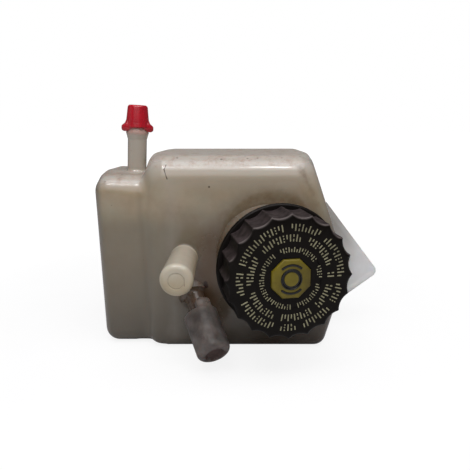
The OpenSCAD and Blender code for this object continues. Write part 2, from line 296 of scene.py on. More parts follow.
WALL = 2.2
MAIN_DEPTH = 62.0
SIDE_DEPTH = 52.0
MAIN_LEFT = -29.5
BOTH = (-1, 1)
FRONT = (-1,)
BACK = (1,)
SEAM = (0,)
BETWEEN = (-0.5,)
MAIN_BALLS = [
    (-18.5, 83, 11, FRONT), (-23.1, 87.6, 6.4, BETWEEN), (-26.1, 90.6, 3.4, SEAM), (-22, 86.5, 7.5, BACK),
    (41.2, 83, 11, FRONT), (45.1, 87, 7, BETWEEN), (47.6, 89.6, 4.4, SEAM), (45.2, 87, 7, BACK),
    (55, 45, 11, BOTH), (54, 24, 11, BOTH), (53, 6, 6, BOTH), (-23.5, 6, 6, BOTH)]
SIDE_BALLS = [
    (-46.2, 76.7, 7.3, FRONT), (-49.1, 80.4, 4.4, BETWEEN), (-50.6, 82.2, 2.9, SEAM),
    (-49.3, 80.4, 4.2, BACK),
    (-19.5, 74, 10, BOTH), (-45.5, 7, 7, BOTH), (-22.5, 7, 7, BOTH)]
SKIN_VOXEL = 0.85

tank = wrap_balls("tank_shell", MAIN_BALLS, MAIN_DEPTH)
side_section = wrap_balls("side_section", SIDE_BALLS, SIDE_DEPTH)
combine(tank, side_section, "UNION")
report(tank)

# %% Melt the two sections into one skin
VALLEY_REACH = 8.0
VALLEY_ROUNDS = 26

apply_modifier(tank, "REMESH", mode="VOXEL", voxel_size=SKIN_VOXEL * MM)
apply_modifier(tank, "SMOOTH", factor=0.5, iterations=4)
pick(tank, "VERT", lambda vertex: abs(vertex.co.x / MM - MAIN_LEFT - 1) < VALLEY_REACH)
bpy.ops.mesh.vertices_smooth(factor=0.5, repeat=VALLEY_ROUNDS)
bpy.ops.object.mode_set(mode="OBJECT")
apply_modifier(tank, "DECIMATE", ratio=0.5)
report(tank)

# %% [markdown]
# ## Neck and nipples
# A hose nipple is a plain turned form: a fillet at its root, a tube, a bead that keeps the hose
# on, and a slimmer tip. The neck is turned too, with the collar that the cap's rim hides. They are
# joined to the skin as solids, and the hollow, the neck's bore and the nipples' bores are cut out
# of the whole afterwards, so that the wall is real when the caps are off.

# %% Turn the neck and the nipples
TUBE_R = 4.75
BEAD_R = 5.6
BORE_R = 2.75
ROOT_R = 2.0
NECK_R = 21.6
NECK_BORE_R = 18.4
COLLAR_R = 24.6
NECK_LENGTH = 28.7
RIM_BACK = 14.9


def nipple(name, length, bead, tip, sink):
    """A beaded hose nipple, sunk into the tank by sink millimetres."""
    return lathe(name, [
        (0, -sink), (TUBE_R + ROOT_R + 0.3, -sink), (TUBE_R + ROOT_R + 0.3, 0), (TUBE_R, 0.1, ROOT_R),
        (TUBE_R, bead - 3, 1.5), (BEAD_R, bead, 0.5), (BEAD_R, bead + 0.6, 0.5), (TUBE_R, bead + 3, 1.5),
        (tip + 0.5, length - 0.5, 0.3), (tip, length, 0.2), (0, length)], steps=64)


neck = lathe("neck", [
    (0, -NECK_R), (COLLAR_R, -NECK_R), (COLLAR_R, RIM_BACK - 2, 0.6), (NECK_R, RIM_BACK - 2),
    (NECK_R, NECK_LENGTH, 0.5), (0, NECK_LENGTH)], steps=128)
combine(tank, place(neck, ON_NECK), "UNION")
# Each nipple as (name, length, place of its bead, radius of its tip, how deep it is sunk), and its axis
LOWER_SUNK = 11
NIPPLES = [
    (("vent", 31, 19.3, 3.5, WALL), ON_VENT), (("front", 31, 27, 3.75, WALL), ON_FRONT),
    (("lower", 28, 23, 3.75, LOWER_SUNK), ON_LOWER)]
for sizes, axis in NIPPLES:
    combine(tank, place(nipple(*sizes), axis), "UNION")
report(tank)


# %% Cut the hollow and the bores
def bore(radius, low, high, steps=48):
    """A cylinder for cutting, from low to high along its axis."""
    return lathe("bore", [(0, low), (radius, low), (radius, high), (0, high)], steps)


STRAINER_SEAT = 1.5
combine(tank, wrap_balls("main_hollow", MAIN_BALLS, MAIN_DEPTH, WALL, 24), "DIFFERENCE")
combine(tank, wrap_balls("side_hollow", SIDE_BALLS, SIDE_DEPTH, WALL, 24), "DIFFERENCE")
# Each bore as (radius, low end, high end, steps round it), and its axis
BORES = [
    ((NECK_BORE_R, -NECK_R, NECK_LENGTH + 1, 96), ON_NECK),
    ((NECK_BORE_R + STRAINER_SEAT, NECK_LENGTH - 1.6, NECK_LENGTH + 1, 96), ON_NECK),
    ((BORE_R, -2 * WALL, 32.5), ON_VENT), ((BORE_R, -2 * WALL, 32.5), ON_FRONT),
    ((BORE_R, -LOWER_SUNK, 30), ON_LOWER)]
for sizes, axis in BORES:
    combine(tank, place(bore(*sizes), axis), "DIFFERENCE")
shade(tank, 40)
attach(tank, "tank")
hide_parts("reservoir_body")
report(tank)

# %% [markdown]
# ## The fixing tab
# The tab is flash that the mould pinches flat, trimmed square, with a thicker border that stops it
# from tearing. Its outline is drawn and filled, extruded to its thickness, and an inset on
# both sides gives the border.

# %% Model the tab
TAB_CORNER = Vector((91, 0, 30))
TAB_TURN = math.radians(52)
TAB_LONG = 48.0
TAB_SHORT = 36.0
TAB_THICK = 2.6
TAB_CORNER_R = 3.65
TAB_CHAMFER = 0.3
TAB_BORDER = 2.1
TAB_SUNK = 0.35
TAB_HOLE = (17.5, 10.5, 3.25)

outline = rounded([(TAB_LONG, 0), (0, 0, TAB_CORNER_R), (0, TAB_SHORT), (TAB_LONG, TAB_SHORT)], 10)
tab = draw("fixing_tab", [Vector((x, y, TAB_CHAMFER - TAB_THICK / 2)) for x, y in outline])
bpy.ops.mesh.edge_face_add()
rise = Vector((0, 0, TAB_THICK - 2 * TAB_CHAMFER))
bpy.ops.mesh.extrude_region_move(TRANSFORM_OT_translate={"value": rise * MM})
bpy.ops.mesh.select_all(action="SELECT")
bpy.ops.mesh.normals_make_consistent(inside=False)
pick(tab, "FACE", lambda face: abs(face.normal.z) > 0.9)
bpy.ops.mesh.inset(thickness=TAB_CHAMFER * MM, depth=TAB_CHAMFER * MM, use_individual=True)
bpy.ops.mesh.inset(thickness=TAB_BORDER * MM, depth=0, use_individual=True)
bpy.ops.mesh.inset(thickness=0.5 * MM, depth=-TAB_SUNK * MM, use_individual=True)
bpy.ops.object.mode_set(mode="OBJECT")
HOLE_X, HOLE_Y, HOLE_R = TAB_HOLE
FLOOR_Z = TAB_THICK / 2 - TAB_SUNK
hole = lathe("hole", [
    (0, -TAB_THICK), (HOLE_R + 0.3, -TAB_THICK), (HOLE_R + 0.3, -FLOOR_Z), (HOLE_R, 0.3 - FLOOR_Z),
    (HOLE_R, FLOOR_Z - 0.3), (HOLE_R + 0.3, FLOOR_Z), (HOLE_R + 0.3, TAB_THICK), (0, TAB_THICK)], steps=48)
combine(tab, place(hole, Matrix.Translation(Vector((HOLE_X, HOLE_Y, 0)) * MM)), "DIFFERENCE")
# The tab's plane stands upright: its Z runs along -Y, and it turns about its outer corner
stand = Matrix.Translation(TAB_CORNER * MM) @ Matrix.Rotation(math.pi / 2, 4, "X")
place(tab, stand @ Matrix.Rotation(math.pi - TAB_TURN, 4, "Z"))
shade(tab, 35)
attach(tab, "tank")
report(tab)

# %% [markdown]
# ## Threads
# The cap runs on a coarse single thread. A thread is a small section swept up a helix, which is
# just what the Screw modifier does. The cap rises 4 mm in each turn, so both threads have that
# pitch, and the cap's lies half a pitch from the neck's, where it keeps its distance at every turn.

# %% Sweep the two threads
THREAD_PITCH = 4.0
THREAD_STEPS = 64
FADE_STEPS = 10


def thread(name, radius, height, low, turns):
    """A helical ridge; a negative height stands inwards. Its ends fade into the wall."""
    deselect()
    bpy.ops.mesh.primitive_plane_add(size=1 * MM)
    piece = bpy.context.object
    piece.name = name
    root = radius - math.copysign(0.15, height)
    crest = radius + height
    corners = [(root, low - 0.9), (crest, low - 0.35), (crest, low + 0.35), (root, low + 0.9)]
    bpy.ops.object.mode_set(mode="EDIT")
    bpy.ops.mesh.delete(type="ONLY_FACE")
    bpy.ops.object.mode_set(mode="OBJECT")
    order = [0, 1, 3, 2]
    for index, (r, z) in zip(order, corners):
        piece.data.vertices[index].co = Vector((r, 0, z)) * MM
    apply_modifier(
        piece, "SCREW", axis="Z", angle=turns * 2 * math.pi, steps=int(THREAD_STEPS * turns),
        render_steps=int(THREAD_STEPS * turns), screw_offset=THREAD_PITCH * turns * MM,
        use_merge_vertices=False, use_smooth_shade=False)
    for vertex in piece.data.vertices:
        flat = Vector((vertex.co.x, vertex.co.y, 0))
        angle = math.atan2(flat.y, flat.x) % (2 * math.pi)
        turn = round((vertex.co.z / MM - low) / THREAD_PITCH - angle / (2 * math.pi))
        along = turn + angle / (2 * math.pi)
        share = min(along, turns - along) * THREAD_STEPS / FADE_STEPS
        if share < 1:
            depth = flat.length - root * MM
            vertex.co -= flat.normalized() * depth * (1 - max(share, 0.05))
    bpy.ops.object.mode_set(mode="EDIT")
    bpy.ops.mesh.select_all(action="SELECT")
    bpy.ops.mesh.fill_holes(sides=8)
    bpy.ops.mesh.normals_make_consistent(inside=False)
    bpy.ops.object.mode_set(mode="OBJECT")
    place(piece, ON_NECK)
    return shade(piece, 50)


CAP_BORE_R = 22.8
neck_thread = thread("neck_thread", NECK_R, 0.8, 17.2, 2.2)
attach(neck_thread, "tank")
cap_thread = thread("cap_thread", CAP_BORE_R, -0.8, 19.2, 1.6)
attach(cap_thread, "screw_cap")
report(neck_thread)
report(cap_thread)

# %% [markdown]
# ## The screw cap
# The cap's grip has twenty hollow flutes. One flute is drawn as an arc between its two ridges,
# raised into a wall, and led over a rounded front edge halfway to the middle of the face. Spinning
# copies of that one wedge round the axis makes a grip whose edges stay clean, which cutting twenty
# hollows out of a cylinder would not. The thin rim behind it is turned and joined on.

# %% Model one flute and spin it into the grip
FLUTES = 20
GRIP_R = 26.9
FLUTE_DEPTH = 1.15
RIDGE_WIDTH = 0.4
RIM_R = 28.0
RIM_THICK = 2.4
CAP_FACE = 33.3
GRIP_LOW = RIM_BACK + RIM_THICK / 2
FLUTE_POINTS = 9


def flute_outline():
    """Points across one flute, from the middle of one ridge to the middle of the next."""
    half = math.pi / FLUTES
    chord = GRIP_R * math.sin(half) - RIDGE_WIDTH / 2
    radius = (chord ** 2 + FLUTE_DEPTH ** 2) / (2 * FLUTE_DEPTH)
    flute_floor = math.sqrt(GRIP_R ** 2 - chord ** 2) - FLUTE_DEPTH
    reach = math.asin(chord / radius)
    points = [(GRIP_R * math.cos(half), -GRIP_R * math.sin(half))]
    for step in range(FLUTE_POINTS):
        angle = -reach + 2 * reach * step / (FLUTE_POINTS - 1)
        points.append((flute_floor + radius * (1 - math.cos(angle)), radius * math.sin(angle)))
    points.append((GRIP_R * math.cos(half), GRIP_R * math.sin(half)))
    return [Vector((x, y, GRIP_LOW)) for x, y in points]


# Steps over the front edge, each as (rise in mm, share of the radius kept)
FRONT_EDGE = [(CAP_FACE - 1.1 - GRIP_LOW, 1.0), (0.35, 0.995), (0.3, 0.983), (0.2, 0.967), (0.13, 0.951),
              (0.1, 0.928), (0.0, 0.5)]

cap = draw("screw_cap_shell", flute_outline())
kept = 1.0
for rise, share in FRONT_EDGE:
    bpy.ops.mesh.extrude_region_move(TRANSFORM_OT_translate={"value": (0, 0, rise * MM)})
    narrower = share / kept
    bpy.ops.transform.resize(value=(narrower, narrower, 1), center_override=(0, 0, 0))
    kept = share
bpy.ops.mesh.extrude_region_move(TRANSFORM_OT_translate={"value": (0, 0, 0)})
bpy.ops.mesh.merge(type="CENTER")
bpy.ops.mesh.select_all(action="SELECT")
bpy.ops.mesh.spin(steps=FLUTES, dupli=True, angle=2 * math.pi, center=(0, 0, 0), axis=(0, 0, 1))
bpy.ops.mesh.select_all(action="SELECT")
bpy.ops.mesh.remove_doubles(threshold=0.01 * MM)
bpy.ops.mesh.select_mode(type="EDGE")
bpy.ops.mesh.select_all(action="DESELECT")
# The open edges are the two rings, in the middle of the face and behind, and flat faces close them
bpy.ops.mesh.select_non_manifold()
bpy.ops.mesh.edge_face_add()
bpy.ops.mesh.select_all(action="SELECT")
bpy.ops.mesh.normals_make_consistent(inside=False)
bpy.ops.object.mode_set(mode="OBJECT")
report(cap)

# %% Add the rim and cut the inside
OCTAGON_FLATS = 16.6
POCKET_DEPTH = 1.0
POCKET_GAP = 0.5
STEM_HOLE_R = 2.5
CAP_INSIDE = 30.7


def octagon(name, flats, low, high):
    """An upright eight-sided prism with a flat side to the front."""
    deselect()
    bpy.ops.mesh.primitive_cylinder_add(
        vertices=8, radius=flats / 2 / math.cos(math.pi / 8) * MM, depth=(high - low) * MM,
        location=(0, 0, (low + high) / 2 * MM), rotation=(0, 0, math.pi / 8))
    return base_form(name)


RIM_FRONT = RIM_BACK + RIM_THICK
combine(cap, lathe("rim", [
    (0, RIM_BACK), (RIM_R - 0.6, RIM_BACK, 0.5), (RIM_R, RIM_BACK + 0.7, 0.6), (RIM_R, RIM_FRONT - 0.7, 0.6),
    (RIM_R - 0.6, RIM_FRONT, 0.5), (0, RIM_FRONT)], steps=160), "UNION")
combine(cap, lathe("cap_bore", [
    (0, RIM_BACK - 1), (CAP_BORE_R + 0.6, RIM_BACK - 1), (CAP_BORE_R + 0.6, RIM_BACK),
    (CAP_BORE_R, RIM_BACK + 0.8), (CAP_BORE_R, CAP_INSIDE, 0.5), (0, CAP_INSIDE)], steps=128), "DIFFERENCE")
# Half a flute's turn brings a flute to the top, and the pocket is cut as much the other way
HALF_FLUTE = math.pi / FLUTES
pocket = octagon("pocket", OCTAGON_FLATS + POCKET_GAP, CAP_FACE - POCKET_DEPTH, CAP_FACE + 1)
pocket.data.transform(Matrix.Rotation(-HALF_FLUTE, 4, "Z"))
combine(cap, pocket, "DIFFERENCE")
combine(cap, bore(STEM_HOLE_R, CAP_INSIDE - 1, CAP_FACE), "DIFFERENCE")
place(cap, ON_NECK @ Matrix.Rotation(HALF_FLUTE, 4, "Z"))
shade(cap, 28)
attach(cap, "screw_cap")
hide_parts("filler_cap")
report(cap)

# %% [markdown]
# ## Printing on the cap
# The face carries rings of raised, paint-filled marks. A mark is a small bar, whole, shortened or
# broken into dashes. Copies are laid round three circles in groups of different length with gaps
# between them, so that the rings have a lively rhythm and stay plain ticks.

# %% Model one mark and lay out the rings
MARK_HEIGHT = 0.14
MARK_SUNK = 0.05
# Each ring as (inner radius, outer radius, bar width, group lengths, gap between groups in marks)
MARK_RINGS = [
    (19.9, 22.8, 0.52, (13, 9, 16, 7, 12, 5, 9, 6), 1.7), (15.6, 18.5, 0.52, (2, 11, 13, 9, 11, 10, 8), 2.0),
    (11.2, 13.3, 0.42, (5, 15, 28, 12), 2.0)]
# Each kind as the parts of its length that stand, from 0 at the inside to 1 at the outside
MARK_KINDS = [[(0, 1)], [(0, 0.36), (0.64, 1)], [(0, 0.62)], [(0.38, 1)], [(0, 0.2), (0.4, 0.6), (0.8, 1)]]
MARK_ORDER = (0, 2, 0, 1, 0, 3, 4, 0, 1, 3, 0, 2)


def mark(inner, outer, width, parts):
    """One raised mark that points away from the axis, made of parts given as shares of its length."""
    pieces = []
    for low, high in parts:
        start = inner + (outer - inner) * low
        end = inner + (outer - inner) * high
        deselect()
        middle = Vector(((start + end) / 2, 0, CAP_FACE + MARK_HEIGHT / 2 - MARK_SUNK))
        bpy.ops.mesh.primitive_cube_add(size=1, location=middle * MM)
        piece = base_form("mark", Vector((end - start, width, MARK_HEIGHT + 2 * MARK_SUNK)) * MM)
        pieces.append(apply_modifier(piece, "BEVEL", width=0.07 * MM, segments=1))
    return join(pieces)


def ring_of_marks(inner, outer, width, groups, gap):
    """Copies of the marks round one circle, spread so that the groups fill it evenly."""
    turn = 2 * math.pi / (sum(groups) + gap * len(groups))
    sources = [mark(inner, outer, width, parts) for parts in MARK_KINDS]
    copies = []
    at = 0.0
    for size in groups:
        for index in range(size):
            source = sources[MARK_ORDER[(index + size) % len(MARK_ORDER)]]
            copies.append(turned_copy(source, at * turn))
            at += 1
        at += gap
    for source in sources:
        bpy.data.objects.remove(source)
    return copies


marks = join([bar for ring in MARK_RINGS for bar in ring_of_marks(*ring)])
marks.name = "cap_marks"
place(marks, ON_NECK)
shade(marks, 30)
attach(marks, "screw_cap")
report(marks)

# %% [markdown]
# ## The yellow button
# An eight-sided button snaps into the middle of the cap. Its top edge is bevelled, and a dark
# ring with a lip and two dark arcs stand on it. The octagon is a primitive with its top edge
# bevelled, the ring is turned, and each arc is a bar with round ends.

# %% Model the button, its ring and its arcs
BUTTON_TOP = 34.3
BUTTON_STEM_R = 2.4
RING_IN = 3.0
RING_OUT = 4.5

button = octagon("cap_button", OCTAGON_FLATS, CAP_FACE - POCKET_DEPTH, BUTTON_TOP)
pick(button, "EDGE", lambda edge: all(
    button.data.vertices[index].co.z > (BUTTON_TOP - 0.01) * MM for index in edge.vertices))
bpy.ops.mesh.bevel(offset=0.75 * MM, segments=2, affect="EDGES")
bpy.ops.object.mode_set(mode="OBJECT")
apply_modifier(
    button, "BEVEL", width=0.15 * MM, segments=2, limit_method="ANGLE", angle_limit=math.radians(20))
groove_in, groove_out, groove_low = RING_IN - 0.05, RING_OUT + 0.05, BUTTON_TOP - 0.7
combine(button, lathe("ring_groove", [
    (groove_in, groove_low), (groove_out, groove_low), (groove_out, BUTTON_TOP + 1),
    (groove_in, BUTTON_TOP + 1), (groove_in, groove_low)], steps=72), "DIFFERENCE")
stem_low, stem_top = CAP_INSIDE - 1.4, CAP_FACE - POCKET_DEPTH + 0.2
combine(button, lathe("stem", [
    (0, stem_low), (BUTTON_STEM_R - 0.2, stem_low), (BUTTON_STEM_R + 0.6, CAP_INSIDE - 0.3),
    (BUTTON_STEM_R, CAP_INSIDE - 0.1), (BUTTON_STEM_R, stem_top), (0, stem_top)], steps=48), "UNION")
place(button, ON_NECK)
shade(button, 30)
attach(button, "screw_cap")
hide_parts("cap_insert")
report(button)

ring_low, ring_shelf, ring_lip = BUTTON_TOP - 0.68, BUTTON_TOP - 0.35, BUTTON_TOP + 0.32
ring = lathe("button_ring", [
    (RING_IN, ring_low), (RING_OUT, ring_low), (RING_OUT, ring_lip, 0.2), (3.95, ring_lip, 0.25),
    (3.8, ring_shelf, 0.15), (RING_IN, ring_shelf), (RING_IN, ring_low)], steps=72)
place(ring, ON_NECK)
shade(ring, 40)
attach(ring, "screw_cap")
report(ring)

ARC_R = 6.0
ARC_HALF = math.radians(40)
ARC_STEPS = 20
for name, middle in (("button_arc_upper", math.pi / 2), ("button_arc_lower", -math.pi / 2)):
    deselect()
    bpy.ops.mesh.primitive_cylinder_add(
        vertices=12, radius=0.5 * MM, depth=0.5 * MM, location=(ARC_R * MM, 0, (BUTTON_TOP + 0.02) * MM))
    dot = base_form("dot")
    # A round dot, laid along the arc in small steps and joined, makes a bar with round ends
    dot.data.transform(Matrix.Rotation(middle - ARC_HALF, 4, "Z"))
    apply_modifier(dot, "BEVEL", width=0.12 * MM, segments=2, limit_method="ANGLE")
    dots = [turned_copy(dot, 2 * ARC_HALF * step / ARC_STEPS) for step in range(ARC_STEPS + 1)]
    bpy.data.objects.remove(dot)
    arc = dots[0]
    arc.name = name
    for dot in dots[1:]:
        combine(arc, dot, "UNION")
    place(arc, ON_NECK)
    shade(arc, 40)
    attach(arc, "screw_cap")
    report(arc)

# %% [markdown]
# ## The red vent cap
# A tapered cup with two down-turned ears for pulling it off. The ears are two sides of a fat
# rounded flange: the flange is turned whole, and what a flattened ball shares with it is kept,
# which leaves two lobes that run out softly into the cup.

# %% Model the red cap
RED_LOW = 22.5
RED_TOP = 33.1
RED_INSIDE = 31.2
LOBE_SIZE = (9.2, 4.7, 4.4)
EAR_TURN = math.radians(11.5)

red_cap = lathe("red_vent_cap", [
    (0, RED_INSIDE), (4.12, RED_INSIDE), (4.12, RED_INSIDE - 0.7), (4.87, RED_LOW), (5.72, RED_LOW - 0.4),
    (6.05, RED_LOW, 0.3), (5.7, RED_LOW + 2.0, 1.2), (4.85, RED_TOP - 0.15, 1.3), (3.0, RED_TOP - 0.02, 2.0),
    (0, RED_TOP)], steps=96)
ears = lathe("ears", [
    (4.7, RED_LOW + 4.2), (5.3, RED_LOW + 4.0, 0.3), (6.2, RED_LOW + 1.7, 1.5), (7.9, RED_LOW + 0.3, 1.2),
    (7.9, RED_LOW - 2.4, 1.3), (6.2, RED_LOW - 2.4, 0.9), (4.9, RED_LOW - 0.2, 0.6),
    (4.7, RED_LOW + 4.2)], steps=96)
deselect()
bpy.ops.mesh.primitive_uv_sphere_add(
    segments=64, ring_count=32, radius=1 * MM, location=(0, 0, (RED_LOW - 0.2) * MM))
combine(ears, base_form("lobes", LOBE_SIZE), "INTERSECT")
apply_modifier(ears, "BEVEL", width=0.25 * MM, segments=2, limit_method="ANGLE", angle_limit=math.radians(50))
combine(red_cap, ears, "UNION")
place(red_cap, ON_VENT @ Matrix.Rotation(EAR_TURN, 4, "Z"))
shade(red_cap, 40)
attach(red_cap, "vent_plug")
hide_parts("vent_cap")
report(red_cap)

# %% [markdown]
# ## The white and the cloudy cap
# Both are blind sleeves, turned with their real wall. The white one has a crowned end with the
# ring that the mould's ejector leaves, and a lip round its open end. The cloudy one is dished at
# its end and has a curled lug by which it is pulled off.

# %% Model the white cap
WHITE_LOW = 2.6
WHITE_END = 35.0
WHITE_END_R = 7.0
WHITE_INSIDE = 31.3
WHITE_OPEN_R = 6.4
WHITE_LIP_R = 6.55
PUSH_BORE_R = 5.72
PIN_R = 3.3

white_cap = lathe("white_nipple_cap", [
    (0, WHITE_INSIDE), (PUSH_BORE_R - 0.4, WHITE_INSIDE, 0.6), (PUSH_BORE_R, WHITE_LOW + 0.4),
    (PUSH_BORE_R + 0.3, WHITE_LOW, 0.1), (WHITE_LIP_R, WHITE_LOW, 0.4), (WHITE_LIP_R, WHITE_LOW + 1.2, 0.6),
    (WHITE_OPEN_R, WHITE_LOW + 2.4, 1.0), (WHITE_END_R, WHITE_END - 0.1, 2.3), (PIN_R + 0.35, WHITE_END, 0.2),
    (PIN_R + 0.15, WHITE_END - 0.14, 0.08), (PIN_R - 0.15, WHITE_END - 0.14, 0.08),
    (PIN_R - 0.35, WHITE_END - 0.02, 0.2), (0, WHITE_END)], steps=96)
place(white_cap, ON_FRONT)
shade(white_cap, 40)
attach(white_cap, "front_plug")
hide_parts("front_nipple_cap")
report(white_cap)

# %% Model the cloudy cap
CLOUDY_LOW = 11.6
CLOUDY_END = 33.2
CLOUDY_INSIDE = 28.3
LUG_HEIGHT = 4.6
LUG_HALF = 3.4
LUG_TURN = math.radians(84)
CLOUDY_OPEN_R = 8.0
CLOUDY_END_R = 7.6

cloudy_cap = lathe("cloudy_nipple_cap", [
    (0, CLOUDY_INSIDE), (PUSH_BORE_R - 0.5, CLOUDY_INSIDE, 0.8), (PUSH_BORE_R, CLOUDY_LOW + 1.2),
    (PUSH_BORE_R + 0.9, CLOUDY_LOW, 0.2), (CLOUDY_OPEN_R, CLOUDY_LOW, 0.7),
    (CLOUDY_OPEN_R - 0.1, CLOUDY_LOW + 2.6, 0.6), (CLOUDY_END_R, CLOUDY_END - 0.4, 2.4),
    (4.6, CLOUDY_END, 0.5), (3.6, CLOUDY_END - 1.3, 0.6), (0, CLOUDY_END - 1.5)], steps=96)
lug_in, lug_low, lug_top = PUSH_BORE_R + 0.1, CLOUDY_LOW - LUG_HEIGHT, CLOUDY_LOW + 3.0
lug = lathe("lug", [
    (lug_in, lug_low), (CLOUDY_OPEN_R - 0.3, lug_low, 0.5), (CLOUDY_OPEN_R + 0.1, lug_low + 1.6, 0.8),
    (CLOUDY_OPEN_R - 0.2, lug_top), (lug_in, lug_top), (lug_in, lug_low)], steps=96)
deselect()
bpy.ops.mesh.primitive_cube_add(size=1 * MM, location=(0, 7 * MM, (lug_low + lug_top) / 2 * MM))
keep = base_form("keep", (2 * LUG_HALF, 10, LUG_HEIGHT + 3))
apply_modifier(keep, "BEVEL", width=1.7 * MM, segments=5)
place(keep, Matrix.Rotation(LUG_TURN - math.pi / 2, 4, "Z"))
combine(lug, keep, "INTERSECT")
combine(cloudy_cap, lug, "UNION")
place(cloudy_cap, ON_LOWER)
shade(cloudy_cap, 40)
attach(cloudy_cap, "lower_plug")
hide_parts("lower_nipple_cap")
report(cloudy_cap)

# %% [markdown]
# ## Gauze in the strainer
# The strainer's cup keeps its exact solid, windows and all. Its windows hold a fine gauze, which is
# one thin turned sleeve just inside the cup's wall; its weave is left to the finish.

# %% Model the gauze sleeve
gauze = lathe("strainer_gauze", [
    (16.95, -19), (17.15, -19), (17.15, 17), (16.95, 17), (16.95, -19)], steps=96)
place(gauze, ON_NECK)
shade(gauze, 40)
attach(gauze, "tank")
report(gauze)

# %% [markdown]
# ## Shader maths
# A finish is a small network of nodes. Writing it as expressions keeps it readable: a Wire wraps
# one output, and adding, multiplying or subtracting wires adds the Math node that does it. A
# Finish holds one material, its Principled shader and one method that makes every other node.


# %% Wires and finishes
class Wire:
    """One number that varies over a surface."""

    def __init__(self, finish, socket):
        self.finish = finish
        self.socket = socket

    def math(self, operation, other=0.0, first=None, clamp=False):
        left = self if first is None else first
        settings = {"operation": operation, "use_clamp": clamp}
        return Wire(self.finish, self.finish.node("ShaderNodeMath", settings, {0: left, 1: other}).outputs[0])

    def __add__(self, other):
        return self.math("ADD", other)

    def __sub__(self, other):
        return self.math("SUBTRACT", other)

    def __mul__(self, other):
        return self.math("MULTIPLY", other)

    def __truediv__(self, other):
        return self.math("DIVIDE", other)

    def __pow__(self, other):
        return self.math("POWER", other)

    def __rsub__(self, other):
        return self.math("SUBTRACT", self, first=other)

    __radd__ = __add__
    __rmul__ = __mul__

    def clip(self):
        """The number kept between 0 and 1."""
        return self.math("ADD", 0.0, clamp=True)

    def above(self, edge, soft):
        """0 below the edge and 1 above it, over a soft width."""
        settings = {"interpolation_type": "SMOOTHSTEP"}
        inputs = {"Value": self, "From Min": edge - soft, "From Max": edge + soft}
        return Wire(self.finish, self.finish.node("ShaderNodeMapRange", settings, inputs).outputs[0])

    def below(self, edge, soft):
        return 1 - self.above(edge, soft)

    def between(self, low, high, soft):
        return self.above(low, soft) * self.below(high, soft)


